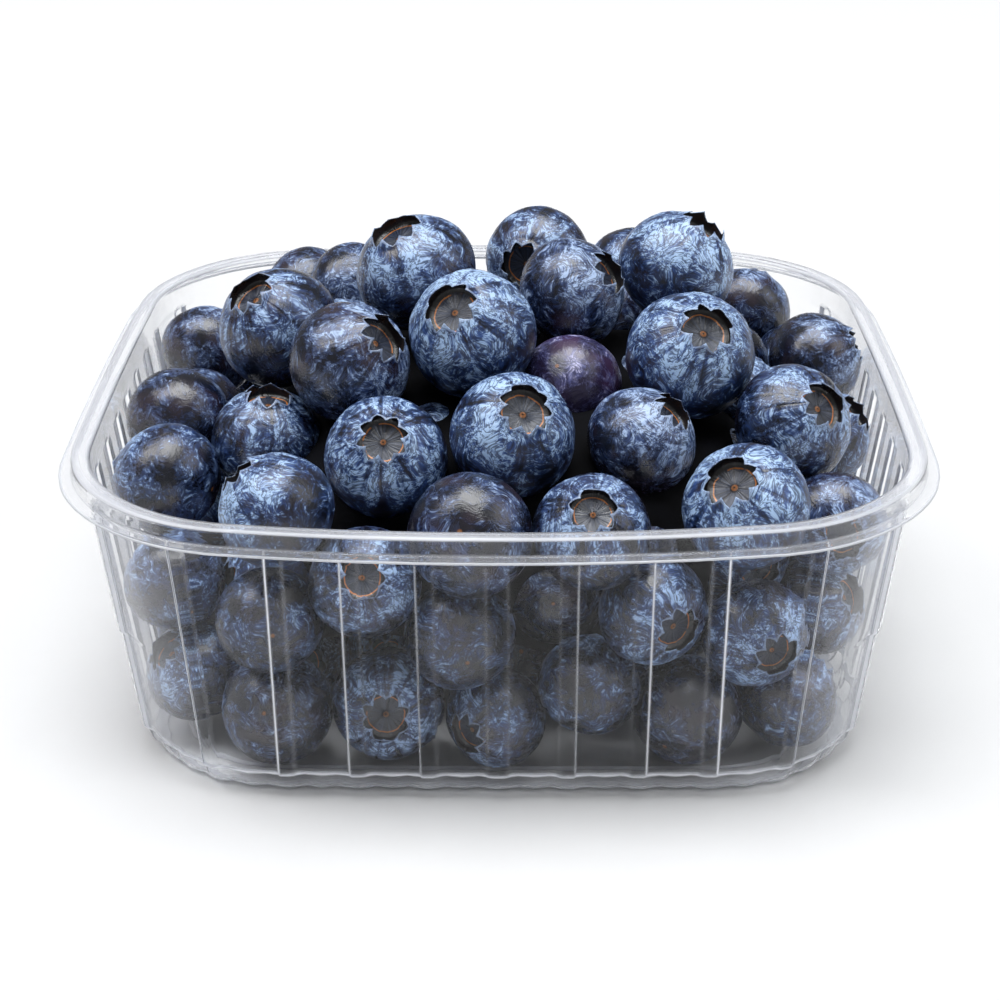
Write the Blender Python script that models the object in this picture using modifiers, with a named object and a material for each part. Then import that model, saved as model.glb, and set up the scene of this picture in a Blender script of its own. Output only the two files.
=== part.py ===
"""A clear plastic punnet heaped with round blue berries.

The tub is one thin formed sheet. The fruit is one solid out to its bumpy outline.
Lengths below are in millimetres and become metres where the meshes are made.
The origin is the middle of the base, on the surface that the punnet stands on.
"""

import math

import bmesh
import bpy
import numpy as np
from mathutils import Vector

MM = 0.001

# Tub
HEIGHT = 44.5             # base to the flat top of the rim
MOUTH = (58.4, 55.8)      # half width and half depth inside the rim
MOUTH_CORNER = 26.1       # corner radius inside the rim
DRAFT = (6.3, 4.6)        # how far the side and front walls lean in by the base
CORNER_DRAFT = 4.5        # how much tighter the corners are by the base
BOW = (0.4, 2.2)          # bulge of the side walls and of the front and back walls
FOOT_BOW = (0.2, 0.3)     # the same at the base, which is nearly straight
PLASTIC = 0.6             # thickness of the sheet
RIM_FLAT = 2.7            # width of the rim's flat top
SKIRT = 2.5               # drop from the rim's top to the lip
LIP = 1.9                 # how far the lip stands out from the skirt
COLLAR = 4.5              # plain band of wall below the rim
RIB_PITCH = (10.0, 9.0)   # spacing along the front and along the sides
RIB_WIDTH = 3.0
RIB_DEPTH = 0.7
RIB_RUN_OUT = 1.2         # height over which a rib fades into the collar
RIBS_EACH_WAY = 3         # ribs on either side of a wall's middle one
CORNER_RIBS = (26.0, 64.0)        # degrees round each corner
CORNER_PLAIN = (0.25, 0.5, 0.75)  # points between those two ribs
LUG = 0.8                 # shoulder on the corners, which keeps nested tubs apart
LUG_ENDS = (28.0, 35.0)   # degrees from the side wall: where it starts to fade, where it is gone
LUG_FOOT = 31.0           # height at which the shoulder ends
EDGE_RADIUS = 2.6         # rounding between wall and base
EDGE_STEPS = (0, 45, 90)  # degrees round that rounding

# Fruit
WALL_GAP = 1.1            # clearance between a berry and the sheet
FLOOR_GAP = 0.6
SEED = 5                  # for the filling berries' sizes and places
FILL_LEVELS = (9, 22, 35, 47)
FILL_GRID = range(-4, 5)  # rows and columns of a layer
FILL_PITCH = (15.6, 14.6)
FILL_STAGGER = 4.0        # shift of every other layer towards the back
FILL_JITTER = 1.5
FILL_DIAMETER = (14.8, 16.6)
FILL_CLOSENESS = 0.84     # nearest that two may start, as a share of their touching distance
WALL_NUDGE = 6.0          # farthest that a wall may push one back in and still keep it
HEAP_MIDDLE = (0, 6)      # where the heap stands above the rim, and how far it reaches
HEAP_REACH = (42, 34)
SETTLE_ROUNDS = 400
PUSH = 0.4                # share of an overlap that one round undoes
HOME_PULL = 0.02          # share of the way home that a laid berry goes in one round
SINK = 0.02               # drop of a filling berry in one round
OUTER_RING = (44, 42)     # past about this far across or back, a berry shows outside the core
OUTER_HEIGHT = 38         # and so it does above this height
CORE_INSET = 5.0          # depth of the core's surface below the outer berries' middles
KEPT_FACES = 0.65         # share of the joined heap's faces that is kept
CORE_FOOT = 2.0           # height of the core's flat underside
CORE_FOOT_SHARE = 0.85    # its spread, as a share of the lowest berries'
LOWEST_BERRIES = 11       # a berry whose middle is under this height is one of those

# Berries laid one by one: across, back, up, diameter
LAID_BERRIES = (
    # lowest row behind the front wall
    (-44, -35, 11, 15.0), (-32, -43, 9, 16.0), (-15, -44, 10, 16.0), (1, -44, 9, 15.0),
    (12, -44, 13, 14.5), (26, -43, 10, 16.0), (42, -37, 9, 15.0),
    # second row
    (-48, -33, 25, 14.5), (-31, -45, 22, 15.0), (-4, -45, 20, 15.5), (7, -31, 20, 14.5),
    (36, -43, 19, 15.5), (48, -33, 18, 14.5),
    # third row
    (-37, -30, 23, 15.0), (-18, -46, 30, 15.5), (21, -45, 25, 15.5), (37, -31, 26, 14.5),
    (49, -31, 32, 15.0), (25, -32, 31, 14.5), (33, -14, 33, 15.0),
    # row level with the rim
    (-49, -24, 36, 16.0), (-30, -47, 42, 16.0), (-4, -46, 36, 17.0), (13, -46, 39, 16.0),
    (34, -46, 42, 17.5),
    # heap, from front to back
    (-49, -9, 39, 16.0), (-36, -15, 40, 16.5), (-16, -30, 43, 17.5), (2, -29, 46, 18.0),
    (21, -26, 41, 16.0), (43, -20, 43, 17.5), (50, -8, 37, 15.0),
    (-23, -14, 50, 18.0), (-4, -10, 54, 19.0), (11, -8, 45, 15.5), (28, -13, 51, 19.0),
    (-10, -14, 37, 15.0), (-34, 0, 51, 18.5), (13, 5, 55, 17.0), (50, 9, 42, 15.0),
    (36, 13, 39, 15.0), (-13, 6, 58, 18.5), (25, 9, 57, 18.0), (6, 22, 54, 17.0),
    (-49, 23, 38, 15.5), (-33, 44, 41, 15.5), (41, 34, 40, 15.0),
    # low along the sides, behind the heap
    (-49, 7, 33, 15.5), (-44, 37, 31, 15.0), (49, 24, 34, 15.0),
)


def clear_scene():
    for old in list(bpy.data.objects):
        bpy.data.objects.remove(old, do_unlink=True)


def new_collection(name):
    collection = bpy.data.collections.new(name)
    bpy.context.scene.collection.children.link(collection)
    return collection


def plain_material(name, colour, roughness):
    material = bpy.data.materials.new(name)
    material.use_nodes = True
    shader = material.node_tree.nodes["Principled BSDF"]
    shader.inputs["Base Color"].default_value = (*colour, 1.0)
    shader.inputs["Roughness"].default_value = roughness
    shader.inputs["Metallic"].default_value = 0.0
    return material


def clear_plastic():
    material = plain_material("clear_plastic", (0.95, 0.97, 0.98), 0.08)
    shader = material.node_tree.nodes["Principled BSDF"]
    shader.inputs["Transmission Weight"].default_value = 1.0
    shader.inputs["IOR"].default_value = 1.5
    return material


def add_object(name, bm, collection, material):
    mesh = bpy.data.meshes.new(name)
    bm.to_mesh(mesh)
    bm.free()
    mesh.materials.append(material)
    obj = bpy.data.objects.new(name, mesh)
    collection.objects.link(obj)
    return obj


# ---- shape of the wall ----

def lean(height):
    """Share of the draft that the wall has taken up at a height: 0 by the lip, 1 at the base."""
    return np.clip(1 - height / (HEIGHT - SKIRT), 0, 1)


def bow(height):
    """Bulge of the side walls and of the front and back walls at a height."""
    return [BOW[i] + (FOOT_BOW[i] - BOW[i]) * lean(height) for i in range(2)]


def corner_radius(height):
    return MOUTH_CORNER - CORNER_DRAFT * lean(height)


def corner_centre(height):
    """Distance across and back from the tub's middle to the middle of a corner's arc."""
    straight = [MOUTH[i] - DRAFT[i] * lean(height) - bow(height)[i] for i in range(2)]
    return np.array(straight) - corner_radius(height)


def side_depth(across, corner_across, corner_depth, corner, bulge):
    """Distance from the tub's middle out to the wall, at a place along one side.

    A wide arc that stands out by the bulge in the middle runs smoothly into the arcs round the
    two corners, whose centres lie corner_across and corner_depth from the middle.
    """
    spread = (corner_across ** 2 + bulge ** 2) / (2 * bulge)
    wide = spread + corner
    if np.abs(across) < wide * corner_across / spread:
        return corner_depth + corner + bulge - wide + np.sqrt(wide ** 2 - across ** 2)
    return corner_depth + np.sqrt(corner ** 2 - (np.abs(across) - corner_across) ** 2)


def side_stations(pitch):
    """Places along one side, each with its share of a rib's depth."""
    stations = []
    for number in range(-RIBS_EACH_WAY, RIBS_EACH_WAY + 1):
        middle = number * pitch
        stations += [(middle - RIB_WIDTH / 2, 0.0), (middle, 1.0), (middle + RIB_WIDTH / 2, 0.0)]
    return stations


def corner_stations(corner):
    """Angles round one corner in degrees, each with its share of a rib's depth."""
    half_rib = math.degrees(RIB_WIDTH / 2 / corner)
    stations = []
    for middle in CORNER_RIBS:
        stations += [(middle - half_rib, 0.0), (middle, 1.0), (middle + half_rib, 0.0)]
    first, last = CORNER_RIBS
    plain = [first + (last - first) * share for share in CORNER_PLAIN]
    return sorted(stations + [(angle, 0.0) for angle in plain])


def lug_share(degrees, faces_side):
    """Share of the shoulder's depth: whole by the side walls, none round by the front and back."""
    from_side_wall = degrees if faces_side else 90 - degrees
    return float(np.interp(from_side_wall, LUG_ENDS, (1, 0)))


def wall_point(across, depth, height, side):
    """A place given along one of the four sides, turned round to where that side is."""
    turn = math.pi / 2 * side
    x = across * math.cos(turn) + depth * math.sin(turn)
    y = across * math.sin(turn) - depth * math.cos(turn)
    return Vector((x, y, height)) * MM


def ring_points(height, shift, rib, lug):
    """One level of the tub's inner face, anticlockwise from the front wall's left end.

    shift moves the whole ring outward, rib and lug are shares of the rib's and the shoulder's depth.
    """
    corner = corner_radius(height)
    centre = corner_centre(height)
    points = []
    for side in range(4):
        faces_side = side % 2
        corner_across, corner_depth = centre[faces_side], centre[1 - faces_side]
        bulge = bow(height)[1 - faces_side]
        for across, share in side_stations(RIB_PITCH[faces_side]):
            depth = side_depth(across, corner_across, corner_depth, corner, bulge)
            depth += shift + share * rib * RIB_DEPTH
            points.append(wall_point(across, depth, height, side))
        for degrees, share in corner_stations(corner):
            angle = math.radians(degrees)
            lug_depth = LUG * lug * lug_share(degrees, faces_side)
            reach = corner + shift + share * rib * RIB_DEPTH + lug_depth
            across = corner_across + reach * math.sin(angle)
            depth = corner_depth + reach * math.cos(angle)
            points.append(wall_point(across, depth, height, side))
    return points


def tub_rings():
    """Levels of the inner face from the lip's edge to the base: height, shift, rib, lug."""
    floor = PLASTIC
    levels = [
        (HEIGHT - SKIRT, RIM_FLAT + LIP, 0, 0),
        (HEIGHT - SKIRT, RIM_FLAT, 0, 0),
        (HEIGHT, RIM_FLAT, 0, 0),
        (HEIGHT, 0, 0, 0),
        (HEIGHT - COLLAR, 0, 0, 0),
        (HEIGHT - COLLAR - RIB_RUN_OUT, 0, 1, 1),
        (LUG_FOOT, 0, 1, 1),
        (LUG_FOOT - LUG, 0, 1, 0),
    ]
    for degrees in EDGE_STEPS:
        angle = math.radians(degrees)
        height = floor + EDGE_RADIUS * (1 - math.sin(angle))
        levels.append((height, -EDGE_RADIUS * (1 - math.cos(angle)), 1, 0))
    return [ring_points(*level) for level in levels]


def build_tub(collection):
    bm = bmesh.new()
    rings = [[bm.verts.new(point) for point in ring] for ring in tub_rings()]
    for upper, lower in zip(rings, rings[1:]):
        for i in range(len(upper)):
            j = (i + 1) % len(upper)
            bm.faces.new((upper[i], upper[j], lower[j], lower[i]))
    bm.faces.new(rings[-1])
    tub = add_object("punnet", bm, collection, clear_plastic())
    # The faces look into the tub, so the sheet thickens away from them.
    shell = tub.modifiers.new("sheet", 'SOLIDIFY')
    shell.thickness = PLASTIC * MM
    shell.offset = -1.0
    shell.use_even_offset = True
    tub.data.shade_flat()
    return tub


# ---- fruit ----

def keep_inside(places, radii):
    """Move berries that reach into a wall or the base back to where they just clear it."""
    flat = np.abs(places[:, :2].T)
    centre = corner_centre(places[:, 2])
    bulge = np.array(bow(places[:, 2])) * (1 - np.minimum(flat / centre, 1)[::-1] ** 2)
    straight = centre + bulge
    past = np.clip(flat - straight, 0, None)
    allowed = corner_radius(places[:, 2]) - radii - WALL_GAP
    pull = np.minimum(allowed / np.maximum(np.hypot(*past), 1e-9), 1)
    kept = np.minimum(flat, straight) + past * pull
    places[:, :2] = np.sign(places[:, :2]) * kept.T
    places[:, 2] = np.maximum(places[:, 2], radii + PLASTIC + FLOOR_GAP)
    return places


def fill_layer(layer):
    """Wanted places of one staggered layer of berries."""
    spots = []
    for row in FILL_GRID:
        for column in FILL_GRID:
            across = (column + (row + layer) % 2 / 2) * FILL_PITCH[0]
            back = row * FILL_PITCH[1] + FILL_STAGGER * (layer % 2)
            spots.append((across, back, FILL_LEVELS[layer]))
    return spots


def fill_tub(places, radii):
    """Add layers of berries wherever the laid ones leave room."""
    rng = np.random.default_rng(SEED)
    for layer in range(len(FILL_LEVELS)):
        for spot in fill_layer(layer):
            wanted = spot + rng.uniform(-FILL_JITTER, FILL_JITTER, 3)
            radius = rng.uniform(*FILL_DIAMETER) / 2
            place = keep_inside(wanted[None].copy(), np.array([radius]))[0]
            in_tub = np.hypot(*(place - wanted)[:2]) < WALL_NUDGE
            in_heap = np.hypot(*((place[:2] - HEAP_MIDDLE) / HEAP_REACH)) < 1
            apart = np.linalg.norm(places - place, axis=1)
            has_room = (apart > FILL_CLOSENESS * (radii + radius)).all()
            if in_tub and has_room and (in_heap or FILL_LEVELS[layer] < HEIGHT):
                places = np.vstack([places, place])
                radii = np.append(radii, radius)
    return places, radii


def settle(places, radii, laid):
    """Push berries apart until none overlap. The first ones, laid by hand, are drawn back home."""
    homes = places[:laid].copy()
    for _ in range(SETTLE_ROUNDS):
        between = places[:, None] - places[None]
        distance = np.linalg.norm(between, axis=2) + HEIGHT * np.eye(len(places))
        overlap = np.clip(radii[:, None] + radii[None] - distance, 0, None)
        places = places + PUSH * (between / distance[..., None] * overlap[..., None]).sum(1)
        places[:laid] += HOME_PULL * (homes - places[:laid])
        places[laid:, 2] -= SINK
        places = keep_inside(places, radii)
    return places


def berry_layout():
    laid = np.array(LAID_BERRIES, float)
    places, radii = fill_tub(laid[:, :3], laid[:, 3] / 2)
    return settle(places, radii, len(laid)), radii


def build_balls(places, radii, cutters, skin):
    bm = bmesh.new()
    for place, radius in zip(places, radii):
        ball = bmesh.ops.create_icosphere(bm, subdivisions=2, radius=radius * MM)
        bmesh.ops.translate(bm, verts=ball["verts"], vec=Vector(place) * MM)
    balls = add_object("heap_balls", bm, cutters, skin)
    balls.hide_render = True
    balls.display_type = 'WIRE'
    return balls


def build_core(places, collection, skin):
    """A hull that runs a little below the middles of the outer berries, flat underneath."""
    bm = bmesh.new()
    middle = places.mean(0)
    for place in places:
        outward = place - middle
        bm.verts.new(Vector(middle + outward * (1 - CORE_INSET / np.linalg.norm(outward))) * MM)
        if place[2] < LOWEST_BERRIES:
            foot = (place[0] * CORE_FOOT_SHARE, place[1] * CORE_FOOT_SHARE, CORE_FOOT)
            bm.verts.new(Vector(foot) * MM)
    hull = bmesh.ops.convex_hull(bm, input=bm.verts)
    bmesh.ops.delete(bm, geom=hull["geom_interior"], context='VERTS')
    bmesh.ops.recalc_face_normals(bm, faces=bm.faces)
    return add_object("berries", bm, collection, skin)


def build_heap(collection, cutters):
    places, radii = berry_layout()
    skin = plain_material("berry_skin", (0.030, 0.048, 0.110), 0.5)
    heap = build_core(places, collection, skin)
    across, back = (places[:, :2] / OUTER_RING).T ** 2
    showing = (np.hypot(across, back) > 1) | (places[:, 2] > OUTER_HEIGHT)
    union = heap.modifiers.new("balls", 'BOOLEAN')
    union.operation = 'UNION'
    union.solver = 'EXACT'
    union.use_self = True
    union.object = build_balls(places[showing], radii[showing], cutters, skin)
    lighten = heap.modifiers.new("fewer_faces", 'DECIMATE')
    lighten.ratio = KEPT_FACES
    return heap


def main():
    clear_scene()
    parts = new_collection("punnet_of_berries")
    cutters = new_collection("guides")
    build_tub(parts)
    build_heap(parts, cutters)


main()
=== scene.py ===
import math

import bmesh
import bpy
import numpy as np
from mathutils import Matrix, Vector, noise


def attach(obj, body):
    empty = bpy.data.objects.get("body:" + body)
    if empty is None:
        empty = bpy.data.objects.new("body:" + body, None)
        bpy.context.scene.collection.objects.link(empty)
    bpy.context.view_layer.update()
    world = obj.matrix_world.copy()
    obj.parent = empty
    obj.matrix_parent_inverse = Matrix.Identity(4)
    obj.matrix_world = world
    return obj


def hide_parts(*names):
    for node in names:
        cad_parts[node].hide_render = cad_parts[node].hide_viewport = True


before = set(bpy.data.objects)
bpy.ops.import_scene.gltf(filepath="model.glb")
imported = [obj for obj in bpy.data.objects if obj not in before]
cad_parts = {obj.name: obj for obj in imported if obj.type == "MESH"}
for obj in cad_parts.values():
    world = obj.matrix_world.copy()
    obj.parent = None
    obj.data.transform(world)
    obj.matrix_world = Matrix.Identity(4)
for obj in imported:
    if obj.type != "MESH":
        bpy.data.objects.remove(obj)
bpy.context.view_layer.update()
mm = 0.001
print("frame loaded")

cameraSetup = {
    "place": (2.8, -293.1, 164.65),  # mm
    "lens": 73.62,
    "dip": 26.0,  # degrees below level
    "turn": 0.57,
    "tip": -0.17,
}


def addCamera(setup):
    camera = bpy.data.objects.new("camera", bpy.data.cameras.new("camera"))
    bpy.context.scene.collection.objects.link(camera)
    camera.data.lens = setup["lens"]
    camera.data.clip_start = 0.01
    turn = Matrix.Rotation(math.radians(setup["turn"]), 4, 'Z')
    dip = Matrix.Rotation(math.radians(90 - setup["dip"]), 4, 'X')
    tip = Matrix.Rotation(math.radians(setup["tip"]), 4, 'Z')
    camera.matrix_world = Matrix.Translation(Vector(setup["place"]) * mm) @ turn @ dip @ tip
    bpy.context.scene.camera = camera


addCamera(cameraSetup)


class Value:
    # a node's output that can be added, multiplied and so on
    def __init__(self, recipe, socket):
        self.recipe = recipe
        self.socket = socket

    def maths(self, operation, *numbers):
        return self.recipe.add("Math", {"operation": operation}, dict(enumerate(numbers)))

    def __add__(self, other):
        return self.maths("ADD", self, other)

    def __radd__(self, other):
        return self.maths("ADD", other, self)

    def __sub__(self, other):
        return self.maths("SUBTRACT", self, other)

    def __rsub__(self, other):
        return self.maths("SUBTRACT", other, self)

    def __mul__(self, other):
        return self.maths("MULTIPLY", self, other)

    def __rmul__(self, other):
        return self.maths("MULTIPLY", other, self)

    def __abs__(self):
        return self.maths("ABSOLUTE", self)


class Recipe:
    # one material or world and its nodes
    def __init__(self, block):
        block.use_nodes = True
        self.tree = block.node_tree
        self.tree.nodes.clear()

    def add(self, kind, settings, inputs, output=0):
        node = self.tree.nodes.new("ShaderNode" + kind)
        for name, setting in settings.items():
            setattr(node, name, setting)
        for name, value in inputs.items():
            if isinstance(value, Value):
                self.tree.links.new(value.socket, node.inputs[name])
            else:
                node.inputs[name].default_value = value
        return Value(self, node.outputs[output]) if node.outputs else None

    def attribute(self, name, output):
        return self.add("Attribute", {"attribute_name": name}, {}, output)

    def vectorMaths(self, operation, *vectors):
        return self.add("VectorMath", {"operation": operation}, dict(enumerate(vectors)))

    def ramp(self, value, low, high):
        # 0 below low, 1 above high, smooth between
        settings = {"interpolation_type": "SMOOTHSTEP"}
        return self.add("MapRange", settings, {"Value": value, "From Min": low, "From Max": high})

    def line(self, value, middle, half, fade):
        # 1 within half of the middle, fading to 0
        return 1 - self.ramp(abs(value - middle), half, half + fade)

    def mix(self, factor, first, second):
        # blends two colours
        first = first if isinstance(first, Value) else (*first, 1)
        second = second if isinstance(second, Value) else (*second, 1)
        return self.add("Mix", {"data_type": "RGBA"}, {0: factor, 6: first, 7: second}, 2)

    def clouds(self, place, scale, output=0, **more):
        return self.add("TexNoise", {}, {"Vector": place, "Scale": scale, **more}, output)


def linear(*sRGB):
    return tuple(((c / 255 + 0.055) / 1.055) ** 2.4 if c > 10 else c / 255 / 12.92 for c in sRGB)


# room: floor, light and background

studio = {
    "floorSize": 3.0,  # m
    "floorColour": (0.72, 0.72, 0.72),
    "fillLight": 0.23,
    "surroundings": 0.9,  # how bright the walls are that the clear plastic reflects
    "lampsAimAt": (0, 0, 0.03),
    "lamps": {
        "key": {"place": (-1.2, 0.0, 1.8), "size": 0.9, "power": 15.0, "colour": (1.0, 0.985, 1.0)},
        "top": {"place": (0.05, 0.12, 2.3), "size": 1.6, "power": 54.0, "colour": (0.98, 1.0, 1.02)},
        "side": {"place": (1.4, -0.2, 1.1), "size": 1.2, "power": 7.0, "colour": (1.0, 1.0, 1.0)},
    },
}


def addLamp(name, values):
    light = bpy.data.lights.new(name, 'AREA')
    light.size = values["size"]
    light.energy = values["power"]
    light.color = values["colour"]
    lamp = bpy.data.objects.new(name, light)
    bpy.context.scene.collection.objects.link(lamp)
    towards = Vector(studio["lampsAimAt"]) - Vector(values["place"])
    turned = towards.to_track_quat('-Z', 'Y').to_matrix().to_4x4()
    lamp.matrix_world = Matrix.Translation(values["place"]) @ turned


def buildStudio(values):
    world = bpy.data.worlds.new("studio")
    bpy.context.scene.world = world
    sky = Recipe(world)
    # full strength where seen straight, mirrored or through the plastic, but not by scattered light
    mirrored = sky.add("LightPath", {}, {}, "Is Singular Ray")
    through, seen, scattered = (
        Value(sky, mirrored.socket.node.outputs[name])
        for name in ("Is Transmission Ray", "Is Camera Ray", "Diffuse Depth")
    )
    bright = seen.maths("MAXIMUM", seen, through)
    bright = mirrored.maths("MAXIMUM", bright, mirrored)
    bright = bright * scattered.maths("LESS_THAN", scattered, 0.5)
    strength = values["fillLight"] + bright * (values["surroundings"] - values["fillLight"])
    light = {"Color": (1, 1, 1, 1), "Strength": strength}
    sky.add("OutputWorld", {}, {"Surface": sky.add("Background", {}, light)})
    bm = bmesh.new()
    bmesh.ops.create_grid(bm, x_segments=1, y_segments=1, size=values["floorSize"] / 2)
    mesh = bpy.data.meshes.new("floor")
    bm.to_mesh(mesh)
    bm.free()
    floor = bpy.data.objects.new("floor", mesh)
    bpy.context.scene.collection.objects.link(floor)
    material = bpy.data.materials.new("paper")
    paper = Recipe(material)
    looks = {"Base Color": (*values["floorColour"], 1), "Roughness": 0.9, "Specular IOR Level": 0.1}
    paper.add("OutputMaterial", {}, {"Surface": paper.add("BsdfPrincipled", {}, looks)})
    mesh.materials.append(material)
    for name, lamp in values["lamps"].items():
        addLamp(name, lamp)
    bpy.context.scene.view_settings.view_transform = 'Standard'


buildStudio(studio)
print("studio ready")

# the tub's sizes in mm, which the berries follow too
tub = {
    "height": 44.5,
    "mouth": (58.4, 55.8),  # half width and depth inside the rim
    "mouthCorner": 26.1,
    "draft": (5.5, 4.6),  # lean of side and front walls, lip to base
    "cornerDraft": 4.5,
    "bow": (0.4, 2.2),  # bulge of side walls and of front and back walls
    "footBow": (0.2, 0.3),
    "sheet": 0.36,
    "rimFlat": 2.7,
    "rimEdge": 0.75,
    "skirt": 2.5,
    "lip": 1.9,
    "collar": 4.5,
    "ribPitch": (10.0, 9.0),
    "ribHalf": (1.5, 0.8),  # on its soft and on its steep side
    "ribDepth": 0.7,
    "steepFlank": 0.15,  # width scale of a rib's sharp side
    "softFlank": 0.33,
    "ribsEachWay": 3,
    "cornerRibs": (26.0, 64.0),  # degrees
    "lug": 0.4,
    "lugEnds": (28.0, 35.0),  # degrees from the side wall where it fades out
    "lugFoot": 20.3,
    "edgeRadius": 2.6,
    "lobeHalf": 2.85,
    "lobeDepth": 0.5,
}


def lean(height):
    return np.clip(1 - height / (tub["height"] - tub["skirt"]), 0, 1)


def bow(height):
    return [top + (foot - top) * lean(height) for top, foot in zip(tub["bow"], tub["footBow"])]


def cornerRadius(height):
    return tub["mouthCorner"] - tub["cornerDraft"] * lean(height)


def cornerCentre(height):
    straight = [tub["mouth"][i] - tub["draft"][i] * lean(height) - bow(height)[i] for i in range(2)]
    return np.array(straight) - cornerRadius(height)


# how the berries fill the tub, in mm
heap = {
    "wallGap": 1.1,
    "floorGap": 1.2,
    "seed": 5,
    "levels": (9, 22, 35, 47),  # of the filling berries' layers
    "grid": range(-4, 5),  # rows and columns of a layer
    "pitch": (15.6, 14.6),
    "stagger": 4.0,  # shift of every other layer towards the back
    "jitter": 1.5,
    "diameter": (14.8, 16.6),
    "closeness": 0.84,  # nearest that two may start, as a share of their touching distance
    "nudge": 6.0,  # farthest that a wall may push one back in and still keep it
    "middle": (0, 6),  # where the heap stands above the rim
    "reach": (42, 34),
    "rounds": 400,  # of settling
    "push": 0.4,  # share of an overlap that one round undoes
    "homePull": 0.02,  # share of the way home that a laid berry goes in one round
    "sink": 0.02,  # drop of a filling berry in one round
}

# across, back, up, diameter; then the way the crown points: degrees to the right of the front, and
# degrees up; then the kind of skin
laidBerries = (
    (-44, -35, 11, 15.0, -60, 45, "bloomed"), (-32, -43, 9, 16.0, 170, -25, "dusky"),
    (-15, -44, 10, 16.0, 0, 15, "bloomed"), (1, -44, 9, 15.0, -40, 0, "bloomed"),
    (12, -44, 13, 14.5, 160, 30, "bloomed"), (26, -43, 10, 16.0, 150, 20, "dusky"),
    (42, -37, 9, 15.0, 120, 40, "bloomed"),
    (-48, -33, 25, 14.5, -150, 20, "bloomed"), (-31, -45, 22, 15.0, -170, -10, "bloomed"),
    (-4, -45, 20, 15.5, -170, 5, "bloomed"), (7, -31, 20, 14.5, 175, -15, "dusky"),
    (36, -43, 19, 15.5, 20, 0, "bloomed"), (48, -33, 18, 14.5, 60, 30, "bloomed"),
    (-37, -30, 23, 15.0, -60, 0, "frosted"), (-18, -46, 30, 15.5, 0, 35, "bloomed"),
    (21, -45, 25, 15.5, 30, 0, "bloomed"), (37, -31, 26, 14.5, 25, 0, "bloomed"),
    (49, -31, 32, 15.0, 5, 5, "dusky"), (25, -32, 31, 14.5, 100, 10, "dusky"),
    (33, -14, 33, 15.0, 90, 50, "dusky"),
    (-49, -24, 36, 16.0, -110, 5, "bloomed"), (-30, -47, 42, 16.0, -100, 45, "frosted"),
    (-4, -46, 36, 17.0, 170, -30, "dusky"), (13, -46, 39, 16.0, 0, 50, "bloomed"),
    (34, -46, 42, 17.5, -35, 50, "frosted"),
    (-49, -9, 39, 16.0, 150, -10, "dusky"), (-36, -15, 40, 16.5, 80, 85, "bloomed"),
    (-16, -30, 43, 17.5, 0, 45, "frosted"), (2, -29, 46, 18.0, 20, 50, "frosted"),
    (21, -26, 41, 16.0, 70, 50, "dusky"), (43, -20, 43, 17.5, 40, 40, "bloomed"),
    (50, -8, 37, 15.0, 80, 40, "bloomed"),
    (-23, -14, 50, 18.0, 60, 40, "dusky"), (-4, -10, 54, 19.0, -30, 45, "frosted"),
    (11, -8, 45, 15.5, 155, -45, "plum"), (28, -13, 51, 19.0, 20, 50, "frosted"),
    (-10, -14, 37, 15.0, 90, 30, "bloomed"), (-34, 0, 51, 18.5, -50, 55, "bloomed"),
    (13, 5, 55, 17.0, 70, 35, "dusky"), (50, 9, 42, 15.0, 90, 25, "dusky"),
    (36, 13, 39, 15.0, -90, 30, "bloomed"), (-13, 6, 58, 18.5, -65, 65, "bloomed"),
    (25, 9, 57, 18.0, 85, 60, "frosted"), (6, 22, 54, 17.0, -20, 10, "bloomed"),
    (-49, 23, 38, 15.5, 150, 30, "dusky"), (-33, 44, 41, 15.5, -125, -35, "dusky"),
    (41, 34, 40, 15.0, 150, 40, "dusky"),
    (-49, 7, 33, 15.5, -90, 10, "bloomed"), (-44, 37, 31, 15.0, -120, 20, "dusky"),
    (49, 24, 34, 15.0, 100, 0, "bloomed"),
    (0, 9, 45, 15.0, 170, 50, "bloomed"), (19, 20, 43.5, 15.5, 150, 50, "dusky"),
    (-25, 15, 43, 15.0, -150, 45, "bloomed"), (21, 0, 40, 14.5, 60, 80, "dusky"),
    (10, -18, 30, 14.5, -60, 60, "dusky"), (-14, 24, 47, 16.0, 175, 40, "frosted"),
    (-22, 0, 38, 15.0, -90, 70, "bloomed"), (-7, 34, 41, 15.0, 165, 50, "dusky"),
    (8, 32, 42, 15.5, -160, 35, "frosted"), (37, 0, 40, 14.5, 120, 30, "bloomed"),
)


def keepInside(places, radii):
    # moves berries that stand in the wall or the floor back into the tub
    flat = np.abs(places[:, :2].T)
    centre = cornerCentre(places[:, 2])
    bulge = np.array(bow(places[:, 2])) * (1 - np.minimum(flat / centre, 1)[::-1] ** 2)
    straight = centre + bulge
    past = np.clip(flat - straight, 0, None)
    allowed = cornerRadius(places[:, 2]) - radii - heap["wallGap"]
    pull = np.minimum(allowed / np.maximum(np.hypot(*past), 1e-9), 1)
    kept = np.minimum(flat, straight) + past * pull
    places[:, :2] = np.sign(places[:, :2]) * kept.T
    places[:, 2] = np.maximum(places[:, 2], radii + heap["floorGap"])
    return places


def fillLayer(layer):
    spots = []
    for row in heap["grid"]:
        for column in heap["grid"]:
            across = (column + (row + layer) % 2 / 2) * heap["pitch"][0]
            back = row * heap["pitch"][1] + heap["stagger"] * (layer % 2)
            spots.append((across, back, heap["levels"][layer]))
    return spots


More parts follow.
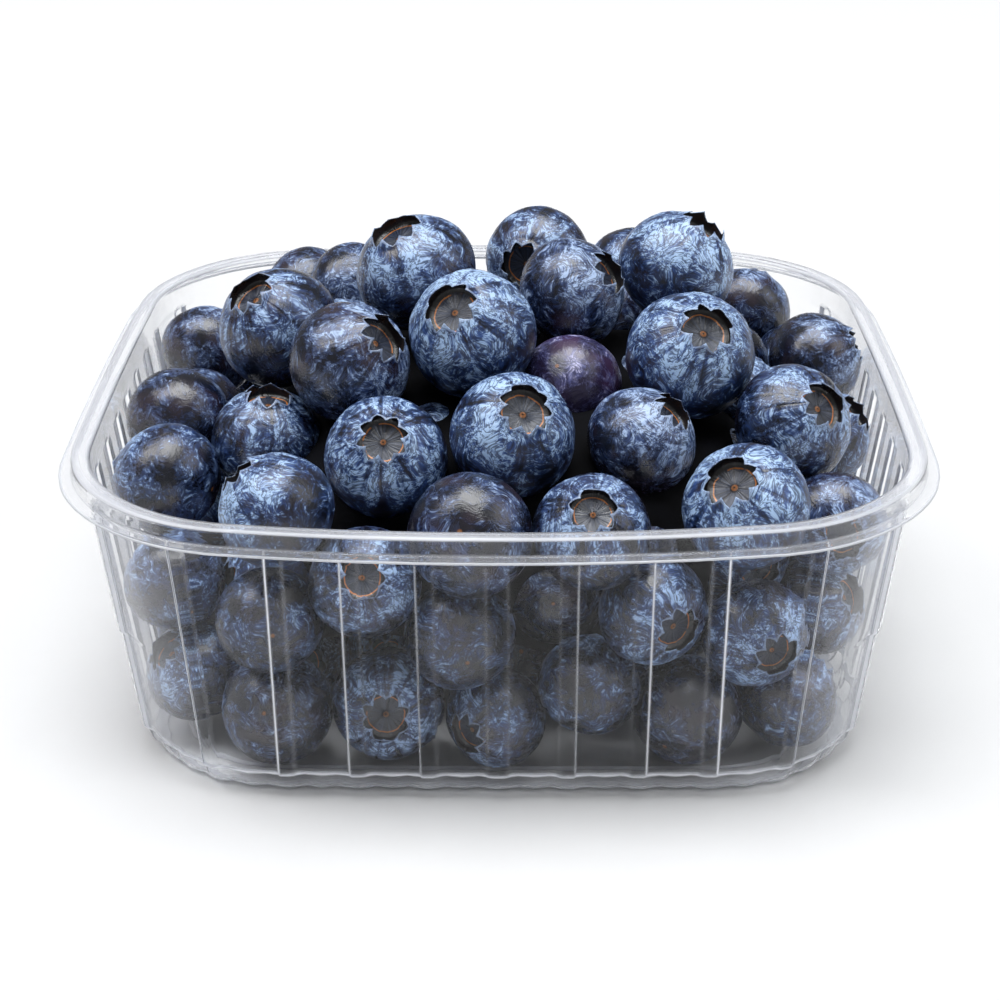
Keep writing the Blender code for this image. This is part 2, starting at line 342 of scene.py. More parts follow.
def fillTub(places, radii):
    rng = np.random.default_rng(heap["seed"])
    for layer, level in enumerate(heap["levels"]):
        for spot in fillLayer(layer):
            wanted = spot + rng.uniform(-heap["jitter"], heap["jitter"], 3)
            radius = rng.uniform(*heap["diameter"]) / 2
            place = keepInside(wanted[None].copy(), np.array([radius]))[0]
            inTub = np.hypot(*(place - wanted)[:2]) < heap["nudge"]
            inHeap = np.hypot(*((place[:2] - heap["middle"]) / heap["reach"])) < 1
            apart = np.linalg.norm(places - place, axis=1)
            hasRoom = (apart > heap["closeness"] * (radii + radius)).all()
            if inTub and hasRoom and (inHeap or level < tub["height"]):
                places = np.vstack([places, place])
                radii = np.append(radii, radius)
    return places, radii


def settle(places, radii, laid):
    homes = places[:laid].copy()
    for _ in range(heap["rounds"]):
        between = places[:, None] - places[None]
        distance = np.linalg.norm(between, axis=2) + tub["height"] * np.eye(len(places))
        overlap = np.clip(radii[:, None] + radii[None] - distance, 0, None)
        places = places + heap["push"] * (between / distance[..., None] * overlap[..., None]).sum(1)
        places[:laid] += heap["homePull"] * (homes - places[:laid])
        places[laid:, 2] -= heap["sink"]
        places = keepInside(places, radii)
    return places


def layBerries():
    laid = np.array([berry[:4] for berry in laidBerries], float)
    places, radii = fillTub(laid[:, :3], laid[:, 3] / 2)
    return settle(places, radii, len(laid)), radii


berryShape = {
    "bodyRings": 18,
    "columnsPerTooth": 6,
    "teeth": (7, 8, 9),
    "squash": (0.88, 0.96),  # height, as a share of the width
    # the rest are shares of the berry's radius
    "crown": (0.44, 0.48),
    "tooth": (0.14, 0.19),  # height of the crown's teeth
    "toothVariety": (0.75, 1.15),
    "toothLean": (0.45, 1.05),  # radians inward
    "dish": (0.10, 0.14),
    "collar": 0.012,
    "stemDimple": 0.05,
    "lumps": 0.030,
    "dents": 0.012,
    "furrow": 0.016,
    "furrowRuns": (0.5, 0.83),  # where furrows start and end, along the run from stem to crown
    "fullness": 1.01,
}


def berryProfile(crown, dish):
    # radius, height, run along the profile from stem to crown, lift by the teeth
    shoulder = crown + 0.05
    top = math.sqrt(1 - shoulder ** 2)
    last = math.pi - math.asin(shoulder)
    points = []
    for i in range(berryShape["bodyRings"] + 1):
        share = i / berryShape["bodyRings"]
        angle = last * (share + 0.03 * math.sin(math.tau * share))
        dimple = berryShape["stemDimple"] * math.exp(-(angle / 0.16) ** 2)
        swell = 1 + berryShape["collar"] * math.exp(-((angle - last + 0.13) / 0.035) ** 2)
        points.append((math.sin(angle) * swell, -math.cos(angle) * swell + dimple, 0.8 * share, 0))
    wall = (
        (0.024, 0.010, 0.82, 0), (0.004, 0.030, 0.835, 0.25), (-0.010, 0.042, 0.85, 0.62),
        (-0.022, 0.050, 0.87, 1.0), (-0.034, 0.048, 0.88, 0.97), (-0.038, 0.032, 0.90, 0.5),
        (-0.040, 0.0, 0.92, 0), (-0.045, -dish * 0.6, 0.94, 0), (-0.055, -dish * 0.95, 0.955, 0),
    )
    points += [(crown + out, top + up, run, lift) for out, up, run, lift in wall]
    floor = ((0.72, -1.06), (0.45, -1.14), (0.22, -1.18), (0.13, -1.10), (0.06, -1.0), (0, -0.98))
    for share, up in floor:
        points.append(((crown - 0.055) * share, top + up * dish, 1 - 0.04 * share, 0))
    return points


def spinBerry(profile, columns):
    bm = bmesh.new()
    run = bm.verts.layers.float.new("berryRun")
    lift = bm.verts.layers.float.new("lift")
    previous = None
    for across, up, along, raised in profile:
        vert = bm.verts.new((across, 0, up))
        vert[run] = along
        vert[lift] = raised
        if previous:
            bm.edges.new((previous, vert))
        previous = vert
    bmesh.ops.spin(bm, geom=bm.verts[:] + bm.edges[:], cent=(0, 0, 0), axis=(0, 0, 1),
                   angle=math.tau, steps=columns, use_merge=True, use_duplicate=False)
    bmesh.ops.remove_doubles(bm, verts=bm.verts, dist=1e-5)
    bmesh.ops.recalc_face_normals(bm, faces=bm.faces)
    return bm


def shapeBerry(bm, rng, teeth):
    # teeth, furrows below them, lumps and dents
    lift = bm.verts.layers.float["lift"]
    run = bm.verts.layers.float["berryRun"]
    heights = rng.uniform(*berryShape["tooth"]) * rng.uniform(*berryShape["toothVariety"], teeth)
    leans = rng.uniform(*berryShape["toothLean"], teeth)
    furrowStart, furrowEnd = berryShape["furrowRuns"]
    seed = Vector(rng.uniform(-50, 50, 3))
    for vert in bm.verts:
        place = vert.co.copy()
        around = (math.atan2(place.y, place.x) / math.tau + 1) * teeth
        tooth = int(around) % teeth
        point = 1 - abs(2 * (around % 1) - 1)
        raised = vert[lift] * heights[tooth] * point ** 1.15
        flat = Vector((place.x, place.y, 0))
        if raised:
            place.z += raised * math.cos(leans[tooth])
            place -= flat.normalized() * raised * math.sin(leans[tooth])
        if furrowStart < vert[run] < furrowEnd:
            share = (vert[run] - furrowStart) / (furrowEnd - furrowStart)
            place *= 1 - berryShape["furrow"] * (1 - point) ** 2 * math.sin(share * math.pi)
        calm = 1 if vert[run] < 0.75 else 0.5
        place *= 1 + calm * berryShape["lumps"] * noise.noise(place * 1.1 + seed)
        place *= 1 + calm * berryShape["dents"] * noise.noise(place * 3.1 - seed)
        vert.co = place
    turn = Matrix.Rotation(rng.uniform(0, math.tau), 4, 'Z')
    bmesh.ops.transform(bm, matrix=turn, verts=bm.verts)


def berryMesh(rng):
    teeth = int(rng.choice(berryShape["teeth"]))
    profile = berryProfile(rng.uniform(*berryShape["crown"]), rng.uniform(*berryShape["dish"]))
    bm = spinBerry(profile, teeth * berryShape["columnsPerTooth"])
    shapeBerry(bm, rng, teeth)
    spot = bm.verts.layers.float_vector.new("berrySpot")
    shift = bm.verts.layers.float_vector.new("berryShift")
    bloom = bm.verts.layers.float.new("berryBloom")
    ownShift = Vector(rng.uniform(-40, 40, 3))
    ownBloom = rng.uniform(0, 1)
    for vert in bm.verts:
        vert[spot] = vert.co
        vert[shift] = ownShift
        vert[bloom] = ownBloom
    bm.verts.layers.float.remove(bm.verts.layers.float["lift"])
    return bm


def crownDirection(turn, rise):
    turn, rise = math.radians(turn), math.radians(rise)
    flat = math.cos(rise)
    return Vector((math.sin(turn) * flat, -math.cos(turn) * flat, math.sin(rise)))


# all the berries, joined by kind

kindChances = {"frosted": 0.3, "bloomed": 0.4, "dusky": 0.3}


def insideCore(places, depth):
    # berries whose middles lie deeper than this under the hull of all the middles
    bm = bmesh.new()
    for place in places:
        bm.verts.new(place)
    hull = bmesh.ops.convex_hull(bm, input=bm.verts)
    bmesh.ops.delete(bm, geom=hull["geom_interior"], context='VERTS')
    bmesh.ops.recalc_face_normals(bm, faces=bm.faces)
    planes = [(face.normal.copy(), face.verts[0].co.copy()) for face in bm.faces]
    bm.free()
    return [
        all((Vector(place) - spot).dot(normal) < -depth for normal, spot in planes)
        for place in places
    ]


def joinBerries(places, radii, hidden):
    meshes = {kind: bmesh.new() for kind in (*kindChances, "plum")}
    counts = dict.fromkeys(meshes, 0)
    scratch = bpy.data.meshes.new("scratch")
    for number, (place, radius) in enumerate(zip(places, radii)):
        rng = np.random.default_rng(100 + number)
        if number < len(laidBerries):
            turn, rise, kind = laidBerries[number][4:]
        else:
            turn, rise = rng.uniform(-180, 180), math.degrees(math.asin(rng.uniform(-1, 1)))
            kind = str(rng.choice(list(kindChances), p=list(kindChances.values())))
        if hidden[number]:
            continue
        bm = berryMesh(rng)
        turned = crownDirection(turn, rise).to_track_quat('Z', 'Y').to_matrix().to_4x4()
        size = radius * mm * berryShape["fullness"]
        squash = Matrix.Diagonal((size, size, size * rng.uniform(*berryShape["squash"]), 1))
        laid = Matrix.Translation(Vector(place) * mm) @ turned @ squash
        bmesh.ops.transform(bm, matrix=laid, verts=bm.verts)
        bm.to_mesh(scratch)
        bm.free()
        meshes[kind].from_mesh(scratch)
        counts[kind] += 1
    bpy.data.meshes.remove(scratch)
    print("berries", counts)
    return meshes


# for each kind: bare skin, its redder parts, thin wax, thick wax, share covered and roughness
skins = {
    "frosted": {
        "skin": linear(7, 11, 24), "blush": linear(33, 29, 41), "bloom": linear(46, 81, 145),
        "frost": linear(178, 208, 243), "cover": 0.39, "shine": 0.28,
    },
    "bloomed": {
        "skin": linear(7, 11, 24), "blush": linear(35, 30, 41), "bloom": linear(44, 75, 135),
        "frost": linear(171, 200, 237), "cover": 0.30, "shine": 0.26,
    },
    "dusky": {
        "skin": linear(10, 13, 26), "blush": linear(45, 37, 47), "bloom": linear(50, 76, 130),
        "frost": linear(170, 194, 230), "cover": 0.29, "shine": 0.24,
    },
    "plum": {
        "skin": linear(36, 29, 56), "blush": linear(66, 47, 76), "bloom": linear(84, 90, 150),
        "frost": linear(196, 194, 232), "cover": 0.37, "shine": 0.25,
    },
}


# scales are in parts of a berry's radius; strengths say how much each pattern adds to the wax
wax = {
    "driftScale": 1.7,
    "swirl": 1.1,  # how far the drift carries the finer patterns
    "patchScale": 2.0, "patchStrength": 2.0,
    "wispScale": 7.0, "wispStrength": 1.7,
    "veinScale": 6.5, "veinHalf": 0.012, "veinFade": 0.05,
    "threadScale": 8.5, "threadHalf": 0.01, "threadFade": 0.05,
    "streakScale": 4.2, "streakStrength": 2.4,
    "crownStrength": 0.4,
    "ownStrength": 0.16,  # how much one berry differs from the next
    "blushScale": 1.3,
    "bloomRange": (0.1, 0.95),  # thinnest wax that shows, and full cover
    "frostRange": (0.6, 1.3),
    "bumpStrength": 0.9,
    "bumpDepth": 0.0003,  # m
    "dulling": 0.2,  # roughness that full bloom adds
    "gloss": 0.8,
}

# places are along the run, which goes from 0 at the stem to 1 in the middle of the crown's dish
crownLook = {
    "nearCrown": (0.46, 0.74),
    "tips": linear(146, 164, 194), "tipsAt": 0.862,
    # painted shade: the crown's inner wall made near black, as shade falls inside it
    "innerWallShade": linear(11, 11, 17), "innerWallShadeFrom": (0.878, 0.886),
    "dishDark": linear(20, 24, 34), "dishPale": linear(56, 65, 86), "dishFrom": (0.962, 0.966),
    "ring": linear(204, 122, 46), "ringAt": 0.9665,
    "scarEdge": linear(26, 20, 20), "scarEdgeAt": 0.9935,
    "scar": linear(150, 92, 42), "scarFrom": (0.9945, 0.9958),
    "scarMiddle": linear(44, 28, 20), "scarMiddleFrom": (0.9978, 0.9990),
    "stemRing": linear(18, 18, 28),
    "stem": linear(140, 92, 56), "stemUpTo": (0.006, 0.013),
}


def berrySkin(kind):
    values = skins[kind]
    material = bpy.data.materials.new(kind + "Skin")
    recipe = Recipe(material)
    spot = recipe.attribute("berrySpot", 1)
    run = recipe.attribute("berryRun", 2)
    ownBloom = recipe.attribute("berryBloom", 2)
    own = recipe.attribute("berryShift", 1)
    here = recipe.vectorMaths("ADD", spot, own)

    # swirled patches of wax, rubbed through in fine curls
    drift = recipe.clouds(here, wax["driftScale"], 1, Detail=1.0)
    swirl = recipe.vectorMaths("MULTIPLY_ADD", drift, (wax["swirl"],) * 3, here)
    patches = recipe.clouds(here, wax["patchScale"], Detail=2.0, Roughness=0.6)
    wisps = recipe.clouds(swirl, wax["wispScale"], Detail=3.0, Roughness=0.75)
    veins = recipe.clouds(swirl, wax["veinScale"], Detail=3.0, Roughness=0.6)
    veins = recipe.line(veins, 0.5, wax["veinHalf"], wax["veinFade"])
    threads = recipe.clouds(swirl, wax["threadScale"], Detail=2.0, Roughness=0.6)
    threads = recipe.line(threads, 0.53, wax["threadHalf"], wax["threadFade"])

    # pale streaks and dark furrows that run out from the crown
    flat = recipe.vectorMaths("MULTIPLY", spot, (1, 1, 0))
    outward = recipe.vectorMaths("ADD", recipe.vectorMaths("NORMALIZE", flat), own)
    streaks = recipe.clouds(outward, wax["streakScale"], Detail=3.0, Roughness=0.65)
    nearCrown = recipe.ramp(run, *crownLook["nearCrown"])
    streakShare = (streaks - 0.5) * nearCrown

    cover = (patches - 0.5) * wax["patchStrength"] + (wisps - 0.5) * wax["wispStrength"]
    cover = cover + streakShare * wax["streakStrength"] + nearCrown * wax["crownStrength"]
    cover = cover + (ownBloom - 0.5) * wax["ownStrength"] + threads * 0.1 + values["cover"]
    bloom = recipe.ramp(cover, *wax["bloomRange"]) * (1 - 0.6 * veins)
    frosting = recipe.ramp(cover + (wisps - 0.5) * 0.9 + threads * 0.3, *wax["frostRange"])
    frosting = frosting * (1 - 0.5 * veins)

    blush = recipe.ramp(recipe.clouds(here, wax["blushScale"], Detail=2.0), 0.45, 0.65)
    skin = recipe.mix(blush, values["skin"], values["blush"])
    coat = recipe.mix(frosting, values["bloom"], values["frost"])
    colour = recipe.mix(bloom, skin, coat)

    # crown: pale tips, painted shade (near black) on the inner wall, slate dish with a thin rust ring
    # and a scar
    tips = recipe.line(run, crownLook["tipsAt"], 0.006, 0.008)
    colour = recipe.mix(tips * 0.6, colour, crownLook["tips"])
    innerWallShade = recipe.ramp(run, *crownLook["innerWallShadeFrom"])
    colour = recipe.mix(innerWallShade, colour, crownLook["innerWallShade"])
    rays = recipe.ramp(recipe.clouds(outward, 11.0, Detail=2.0), 0.3, 0.7)
    dish = recipe.mix(rays, crownLook["dishDark"], crownLook["dishPale"])
    colour = recipe.mix(recipe.ramp(run, *crownLook["dishFrom"]), colour, dish)
    ragged = (recipe.clouds(here, 7.0, Detail=1.0) - 0.5) * 0.006
    broken = recipe.ramp(recipe.clouds(outward, 1.5, Detail=1.0), 0.34, 0.44)
    ring = recipe.line(run + ragged, crownLook["ringAt"], 0.0009, 0.0012) * broken
    colour = recipe.mix(ring, colour, crownLook["ring"])
    scarEdge = recipe.line(run, crownLook["scarEdgeAt"], 0.0006, 0.0012)
    colour = recipe.mix(scarEdge * 0.8, colour, crownLook["scarEdge"])
    scar = recipe.ramp(run + ragged * 0.4, *crownLook["scarFrom"])
    colour = recipe.mix(scar, colour, crownLook["scar"])
    scarMiddle = recipe.ramp(run, *crownLook["scarMiddleFrom"])
    colour = recipe.mix(scarMiddle, colour, crownLook["scarMiddle"])

    # stem end: a small rust dot in a dark dimple
    stemRing = recipe.line(run, 0, 0.03, 0.035)
    colour = recipe.mix(stemRing * 0.7, colour, crownLook["stemRing"])
    stem = 1 - recipe.ramp(run + ragged, *crownLook["stemUpTo"])
    colour = recipe.mix(stem, colour, crownLook["stem"])

    height = wisps * 0.3 + streakShare * 0.7 + patches * 0.5
    bump = recipe.add("Bump", {}, {
        "Strength": wax["bumpStrength"], "Distance": wax["bumpDepth"], "Height": height,
    })
    shader = recipe.add("BsdfPrincipled", {}, {
        "Base Color": colour, "Roughness": values["shine"] + wax["dulling"] * bloom,
        "Normal": bump, "Specular IOR Level": wax["gloss"],
    })
    recipe.add("OutputMaterial", {}, {"Surface": shader})
    return material


def finishPiece(name, bm, material, node):
    mesh = bpy.data.meshes.new(name)
    bm.to_mesh(mesh)
    bm.free()
    mesh.materials.append(material)
    mesh.shade_smooth()
    piece = bpy.data.objects.new(name, mesh)
    bpy.context.scene.collection.objects.link(piece)
    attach(piece, "root")
    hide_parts(node)
    print(name, len(mesh.polygons), "faces")


coreShape = {
    "depth": 10.5,  # mm below the outer berries' middles
    "hiddenDepth": 17.0,  # past this depth a berry is left out
    "lumpSize": 6.0,
    "lumpHeight": 1.5,
    "softenRounds": 4,
    "roughness": 0.9,
    # painted shade: the core's colours, near black, stand in for the shade between the berries
    "dark": linear(2, 2, 4),
    "pale": linear(7, 8, 14),
}


def buildCore(places):
    # a lumpy mass in the middle, where no berry can be seen, painted near black as the shade deep in
    # the heap
    bm = bmesh.new()
    middle = places.mean(0)
    for place in places:
        outward = place - middle
        inset = coreShape["depth"] / max(np.linalg.norm(outward), 2 * coreShape["depth"])
        bm.verts.new(Vector(middle + outward * (1 - inset)) * mm)
    hull = bmesh.ops.convex_hull(bm, input=bm.verts)
    bmesh.ops.delete(bm, geom=hull["geom_interior"], context='VERTS')
    bmesh.ops.triangulate(bm, faces=bm.faces)
    bmesh.ops.subdivide_edges(bm, edges=bm.edges, cuts=3, use_grid_fill=True)
    for _ in range(coreShape["softenRounds"]):
        bmesh.ops.smooth_vert(bm, verts=bm.verts, factor=0.5,
                              use_axis_x=True, use_axis_y=True, use_axis_z=True)
    bmesh.ops.recalc_face_normals(bm, faces=bm.faces)
    for vert in bm.verts:
        bump = noise.noise(vert.co / (coreShape["lumpSize"] * mm))
        vert.co += vert.normal * coreShape["lumpHeight"] * mm * bump
    return bm


def coreShadeSkin():
    material = bpy.data.materials.new("coreShadeSkin")
    recipe = Recipe(material)
    place = recipe.add("TexCoord", {}, {}, 3)
    patches = recipe.clouds(place, 160.0, Detail=4.0)
    colour = recipe.mix(recipe.ramp(patches, 0.4, 0.7), coreShape["dark"], coreShape["pale"])
    bump = recipe.add("Bump", {}, {"Strength": 0.2, "Distance": 0.0003, "Height": patches})
    shader = recipe.add("BsdfPrincipled", {}, {
        "Base Color": colour, "Roughness": coreShape["roughness"],
        "Normal": bump, "Specular IOR Level": 0.15,
    })
    recipe.add("OutputMaterial", {}, {"Surface": shader})
    return material


places, radii = layBerries()
hidden = insideCore(places, coreShape["hiddenDepth"])
print("layout:", len(places), "berries,", sum(hidden), "inside the core")
for kind, bm in joinBerries(places, radii, hidden).items():
    finishPiece(kind + "Berries", bm, berrySkin(kind), "berries")
finishPiece("core", buildCore(places), coreShadeSkin(), "berries")
print("berries ready")

# rounding of a rib's side: place in flank widths from its middle, share of depth, share of painted
# glint (a white line painted along the bend)
flank = (
    (-3.0, 1.0, 0.0), (-1.3, 0.96, 0.3), (-0.45, 0.72, 1.0),
    (0.45, 0.28, 1.0), (1.3, 0.04, 0.3), (3.0, 0.0, 0.0),
)
# painted glint that a rib's soft side keeps, as a share of its steep side's
softFlankGlint = 0.15
middleRibGlint = 0.12  # how much of its painted glint a wall's middle rib keeps
cornerMargin = 0.09  # rad without stations at either end of a corner


def scallop(place, cusps):
    # how far a scalloped edge lies in: arcs that meet in cusps
    for start, end in zip(cusps, cusps[1:]):
        if start <= place <= end:
            return -tub["lobeDepth"] * (2 * (place - start) / (end - start) - 1) ** 2
    return 0.0


def ribStations(middle, steepSides, strength):
    # across one rib: place, share of depth, share of painted glint
    stations = [(middle, 1.0, 0.0)]
    for sign in (-1, 1):
        steep = sign in steepSides
        width = tub["steepFlank"] if steep else tub["softFlank"]
        for step, depth, paintedGlint in flank:
            place = middle + sign * (tub["ribHalf"][steep] + step * width)
            share = strength if steep else softFlankGlint * strength
            stations.append((place, depth, paintedGlint * share))
    return stations


def lobeStations(start, end):
    # between two cusps, and close to them
    inset = min(0.3, (end - start) / 8)
    return [(start + inset, 0.0, 0.0), ((start + end) / 2, 0.0, 0.0), (end - inset, 0.0, 0.0)]


def wallStations(pitch):
    # along one side wall: place, share of rib, share of painted glint, share of scallop
    each, half = tub["ribsEachWay"], tub["lobeHalf"]
    ribs = range(-each, each + 1)
    cusps = sorted(number * pitch + sign * half for number in ribs for sign in (-1, 1))
    stations = [(cusp, 0.0, 0.0) for cusp in cusps]
    for number in ribs:
        outer = (-1,) if number < 0 else (1,) if number > 0 else ()
        strength = middleRibGlint + (1 - middleRibGlint) * (abs(number) / each) ** 1.3
        stations += ribStations(number * pitch, outer, strength)
        if number < each:
            stations += lobeStations(number * pitch + half, (number + 1) * pitch - half)
    return [(*station, scallop(station[0], cusps)) for station in sorted(stations)]


def cornerStations(side):
    # round the corner that follows a side: angle, share of rib, share of painted glint, share of
    # scallop
    middleHeight = tub["height"] / 2
    radius = float(cornerRadius(middleHeight))
    ends = []
    for axis in (side % 2, 1 - side % 2):
        wallEnd = tub["ribsEachWay"] * tub["ribPitch"][axis] + tub["lobeHalf"]
        ends.append(wallEnd - float(cornerCentre(middleHeight)[axis]))
    length = math.pi / 2 * radius
    first, last = (math.radians(angle) * radius for angle in tub["cornerRibs"])
    half = tub["lobeHalf"]
    cusps = [
        ends[0], first - half, first + half, length / 2, last - half, last + half, length - ends[1],
    ]
    stations = [(cusp, 0.0, 0.0) for cusp in cusps[1:-1]]
    stations += ribStations(first, (1,), 1.0) + ribStations(last, (-1,), 1.0)
    for start, end in ((0, 1), (2, 3), (3, 4), (5, 6)):
        stations += lobeStations(cusps[start], cusps[end])
    margin = cornerMargin * radius
    return [
        (place / radius, rib, paintedGlint, scallop(place, cusps))
        for place, rib, paintedGlint in sorted(stations)
        if margin < place < length - margin
    ]


def sideDepth(across, cornerAcross, cornerDepth, corner, bulge):
    # how far out a side lies: a wide arc between two corner arcs
    spread = (cornerAcross ** 2 + bulge ** 2) / (2 * bulge)
    wide = spread + corner
    if abs(across) < wide * cornerAcross / spread:
        return cornerDepth + corner + bulge - wide + math.sqrt(wide ** 2 - across ** 2)
    return cornerDepth + math.sqrt(corner ** 2 - (abs(across) - cornerAcross) ** 2)


def tubStations():
    # once round the tub: side, whether on a corner, place or angle, then as above
    stations = []
    for side in range(4):
        stations += [(side, False, *station) for station in wallStations(tub["ribPitch"][side % 2])]
        stations += [(side, True, *station) for station in cornerStations(side)]
    return stations


def ringPlaces(stations, height, shift, rib, lug, scalloped):
    # one level of the sheet; rib, lug and scalloped are shares of their full depth
    corner = float(cornerRadius(height))
    centre = [float(part) for part in cornerCentre(height)]
    bulges = [float(part) for part in bow(height)]
    ring = []
    for side, onCorner, place, ribShare, _, arc in stations:
        cornerAcross, cornerDepth = centre[side % 2], centre[1 - side % 2]
        out = shift + rib * ribShare * tub["ribDepth"] + scalloped * arc
        if onCorner:
            fromSide = math.degrees(place) if side % 2 else 90 - math.degrees(place)
            lugShare = lug * float(np.interp(fromSide, tub["lugEnds"], (1, 0)))
            reach = corner + out + lugShare * tub["lug"]
            across = cornerAcross + reach * math.sin(place)
            depth = cornerDepth + reach * math.cos(place)
        else:
            across = place
            depth = out + sideDepth(across, cornerAcross, cornerDepth, corner, bulges[1 - side % 2])
        ring.append(Matrix.Rotation(math.pi / 2 * side, 3, 'Z') @ Vector((across, -depth, height)) * mm)
    return ring


def roundedTurn(before, corner, after, radius, steps):
    # a corner of the profile, rounded; each place is (shift, height)
    before, corner, after = Vector(before), Vector(corner), Vector(after)
    inward = (before - corner).normalized()
    outward = (after - corner).normalized()
    half = inward.angle(outward) / 2
    reach = radius / math.tan(half)
    centre = corner + (inward + outward).normalized() * radius / math.sin(half)
    start, end = corner + inward * reach - centre, corner + outward * reach - centre
    angle = start.angle(end)
    arc = []
    for i in range(steps + 1):
        share = i / steps
        blend = start * math.sin((1 - share) * angle) + end * math.sin(share * angle)
        arc.append(tuple(centre + blend / math.sin(angle)))
    return arc


def innerLevels():
    # the sheet's upper face from the middle of the base to the lip's edge:
    # shift, height, rib, lug, scallop, share of painted glint, share of the ribs' own painted glint
    height, sheet, flat, radius = tub["height"], tub["sheet"], tub["rimFlat"], tub["edgeRadius"]
    # the base's raised ledge
    levels = [
        (-radius - 7.0, sheet + 0.5, 0, 0, 0, 0, 0), (-radius - 4.3, sheet + 0.5, 0, 0, 0, 0, 0),
        (-radius - 3.9, sheet + 0.4, 0, 0, 0, 0.5, 0), (-radius - 3.5, sheet + 0.1, 0, 0, 0.3, 0.4, 0),
        (-radius - 3.0, sheet, 0, 0, 0.6, 0, 0), (-radius - 1.4, sheet, 0, 0, 1, 0, 0),
    ]
    # the rounding up to the wall, then the scalloped ledge where the ribs start
    for degrees in (90, 78, 66, 54, 42, 30, 18, 8):
        angle = math.radians(degrees)
        glint = 0.6 if 50 < degrees < 80 else 0.2
        up = sheet + radius * (1 - math.sin(angle))
        levels.append((-radius * (1 - math.cos(angle)) - 0.2, up, 0.15, 0, 1, glint, 0))
    levels += [
        (-0.25, sheet + radius + 0.35, 0.35, 0, 0.9, 0.1, 0.3),
        (-0.28, sheet + radius + 0.75, 0.5, 0, 0.7, 0.9, 0.5),
        (-0.08, sheet + radius + 1.05, 0.8, 0, 0.3, 1, 0.8),
        (0.0, sheet + radius + 1.35, 0.95, 0, 0.08, 0.3, 1), (0, sheet + radius + 2.1, 1, 0, 0, 0, 1),
        (0, 12, 1, 0, 0, 0, 1),
    ]
    # the corners' shoulder, then the ribs' upper ends
    for up, lug in ((-2, 0), (-0.7, 0), (-0.45, 0.15), (-0.15, 0.85), (0.1, 1), (1, 1), (10, 1)):
        levels.append((0, tub["lugFoot"] + up, 1, lug, 0, 0, 1))
    collar = height - tub["collar"]
    for up, share in ((-2.0, 1), (-1.1, 1), (-0.75, 0.9), (-0.3, 0.4), (0.15, 0.05), (0.5, 0)):
        levels.append((0, collar + up, share, share, 0, 0, share))
    # the rim's flat top, the skirt and the lip
    wall, rimInner, rimOuter = (0, collar), (0, height), (flat, height)
    skirtFoot = (flat, height - tub["skirt"])
    lipEdge = (flat + tub["lip"], height - tub["skirt"])
    # painted glints: white lines painted along the rim's roundings and the lip's edge, as shares of
    # cover
    glints = (0.05, 0.45, 0.65, 0.65, 0.55, 0.45, 0.4)
    profile = list(zip(roundedTurn(wall, rimInner, rimOuter, tub["rimEdge"], 6), glints))
    profile += [((flat * 0.5, height - 0.02), 0.38)]
    profile += list(zip(roundedTurn(rimInner, rimOuter, skirtFoot, 0.6, 4), (0.6, 1, 1, 0.3, 0)))
    profile += [((flat, height - 1.25), 0.0)]
    profile += list(zip(roundedTurn(rimOuter, skirtFoot, lipEdge, 0.4, 4), (0, 0.25, 0.42, 0.25, 0.15)))
    profile += [((lipEdge[0] - 0.6, lipEdge[1]), 0.15), ((lipEdge[0] - 0.3, lipEdge[1]), 0.35)]
    profile += [((lipEdge[0] - 0.12, lipEdge[1] - 0.08), 1)]
    return levels + [(*place, 0, 0, 0, paintedGlint, 0) for place, paintedGlint in profile]


def sheetLevels():
    # the upper face outward, round the lip's edge, and the lower face back: one closed skin
    upper = innerLevels()
    lower = []
    for i, level in enumerate(upper):
        before, after = upper[max(i - 1, 0)], upper[min(i + 1, len(upper) - 1)]
        along = Vector((after[0] - before[0], after[1] - before[1])).normalized()
        lower.append((level[0] + along.y * tub["sheet"], level[1] - along.x * tub["sheet"], *level[2:]))
    lip = upper[-1]
    edge = (lip[0] + 0.12, lip[1] - tub["sheet"] * 0.6, *lip[2:])
    return upper + [edge] + lower[::-1]


def buildTub():
    stations = tubStations()
    levels = sheetLevels()
    bm = bmesh.new()
    # share of painted glint: a white line painted on the sheet where its bends catch the light
    paintedGlint = bm.verts.layers.float.new("paintedGlint")
    ring = bmesh.ops.create_circle(bm, cap_ends=True, segments=len(stations), radius=1.0)["verts"]
    edges = list({edge for vert in ring for edge in vert.link_edges})
    for number, (shift, height, rib, lug, scalloped, levelGlint, ribGlint) in enumerate(levels):
        if number:
            made = bmesh.ops.extrude_edge_only(bm, edges=edges)["geom"]
            new = {item for item in made if isinstance(item, bmesh.types.BMVert)}
            edges = [
                item for item in made
                if isinstance(item, bmesh.types.BMEdge) and new.issuperset(item.verts)
            ]
            ring = [
                next(edge.other_vert(vert) for edge in vert.link_edges if edge.other_vert(vert) in new)
                for vert in ring
            ]
        places = ringPlaces(stations, height, shift, rib, lug, scalloped)
        for vert, place, station in zip(ring, places, stations):
            vert.co = place
            vert[paintedGlint] = max(levelGlint, ribGlint * station[4])
    bmesh.ops.holes_fill(bm, edges=edges, sides=0)
    bmesh.ops.recalc_face_normals(bm, faces=bm.faces)
    return bm


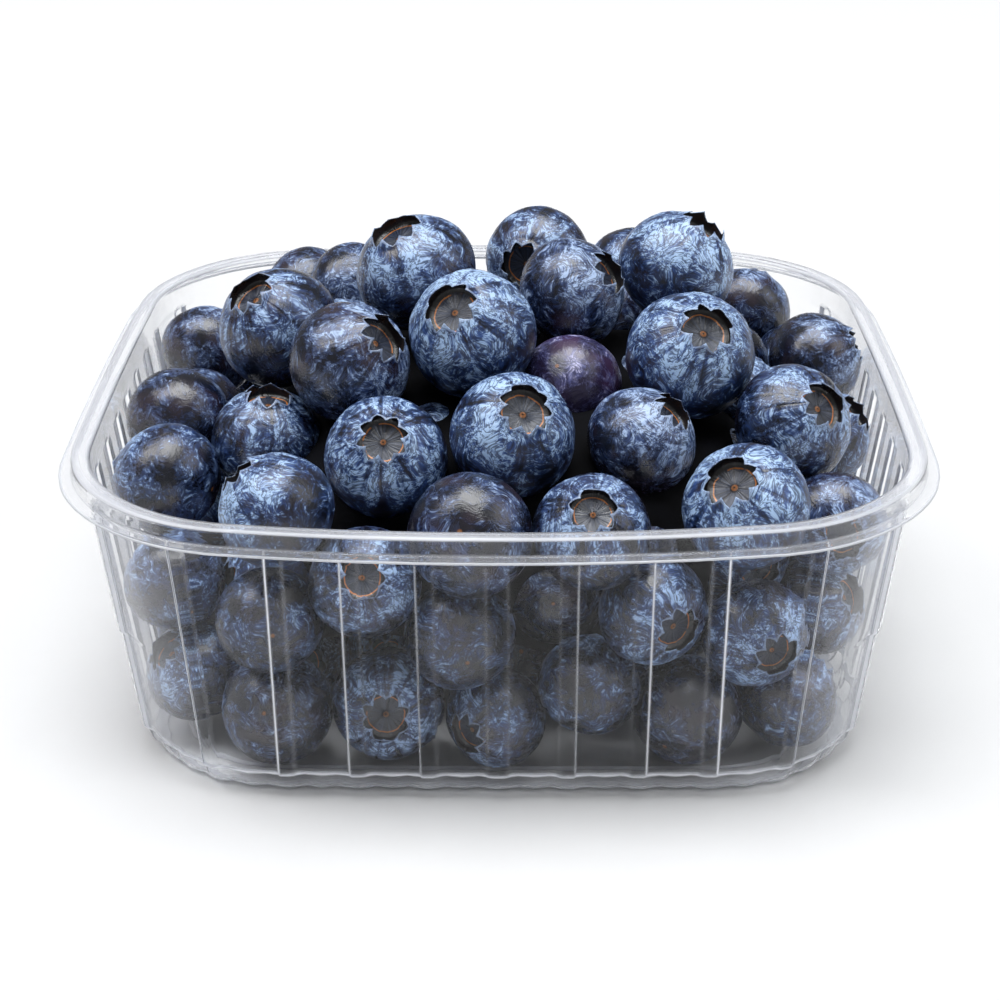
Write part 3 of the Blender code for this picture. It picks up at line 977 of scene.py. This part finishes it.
plastic = {
    "tint": (0.976, 0.979, 0.985, 1),
    "roughness": 0.02,
    "indexOfRefraction": 1.25,
    "shadowTint": (0.94, 0.945, 0.95, 1),
    # painted glints: colours of the white lines painted on the walls' bends and on the rim, and how
    # much they cover
    "wallGlintColour": linear(247, 249, 255),
    "rimGlintColour": linear(208, 210, 216),
    "rimFrom": (0.0405, 0.042),  # m above the base
    "glintCover": 0.95,
    "edgeSheenCover": 0.34,  # painted reflection: whitening where the sheet is seen edge on
}


def clearPlastic():
    # clear sheet, with painted highlights along its sharp bends and on the rim, and a painted
    # reflection where it is seen edge on
    material = bpy.data.materials.new("clearPlastic")
    recipe = Recipe(material)
    glass = recipe.add("BsdfPrincipled", {}, {
        "Base Color": plastic["tint"], "Roughness": plastic["roughness"],
        "IOR": plastic["indexOfRefraction"], "Transmission Weight": 1.0,
    })
    clear = recipe.add("BsdfTransparent", {}, {"Color": plastic["shadowTint"]})
    isShadow = recipe.add("LightPath", {}, {}, 1)
    sheet = recipe.add("MixShader", {}, {0: isShadow, 1: glass, 2: clear})

    place = recipe.add("TexCoord", {}, {}, 3)
    height = recipe.add("SeparateXYZ", {}, {0: place}, 2)
    onRim = recipe.ramp(height, *plastic["rimFrom"])
    glintColour = recipe.mix(onRim, plastic["wallGlintColour"], plastic["rimGlintColour"])
    # pale diffuse sheet that carries the painted glints and the painted edge reflection
    pale = recipe.add("BsdfPrincipled", {}, {"Base Color": glintColour, "Roughness": 0.25})
    # streaks that break up the painted glint on the rim
    streaks = recipe.clouds(recipe.vectorMaths("MULTIPLY", place, (1, 1, 12)), 38.0, Detail=1.0)
    uneven = 1 - onRim * recipe.ramp(streaks, 0.38, 0.62) * 0.4
    # painted reflection: the sheet turns pale where it is seen edge on
    facing = recipe.add("LayerWeight", {}, {"Blend": 0.5}, 1)
    paintedEdgeSheen = recipe.ramp(facing, 0.15, 1.0) * plastic["edgeSheenCover"]
    paintedGlint = recipe.ramp(recipe.attribute("paintedGlint", 2), 0, 1) * uneven * plastic["glintCover"]
    cover = recipe.add("Math", {"operation": "MAXIMUM"}, {0: paintedGlint, 1: paintedEdgeSheen})
    surface = recipe.add("MixShader", {}, {0: cover, 1: sheet, 2: pale})
    recipe.add("OutputMaterial", {}, {"Surface": surface})
    return material


finishPiece("clearTub", buildTub(), clearPlastic(), "punnet")
print("tub ready")
